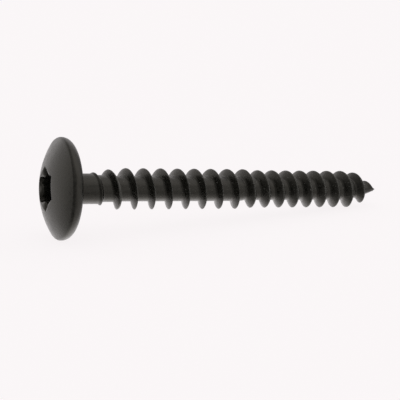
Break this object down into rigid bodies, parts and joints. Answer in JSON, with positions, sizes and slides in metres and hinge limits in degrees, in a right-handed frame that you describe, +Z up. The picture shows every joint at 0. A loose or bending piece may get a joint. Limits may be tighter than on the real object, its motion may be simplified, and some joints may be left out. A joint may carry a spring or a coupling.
{
  "type": "hinge screw",
  "caption": "Black hinge screw with a wide low domed head, a six-lobe recess, a coarse wood thread and a sharp point, lying on its side.",
  "frame": {"origin": "on the floor, under the centre of the box that the lying screw fills", "axes": "+X along the screw towards its point, which dips 5.3 degrees to the floor, +Z up, -Y the side the picture was taken from"},
  "size_m": [0.0642, 0.017, 0.0169],
  "materials": {
    "black_steel": "satin black coating on steel"
  },
  "bodies": {
    "root": {"hinge_screw": "black_steel"}
  },
  "joints": []
}
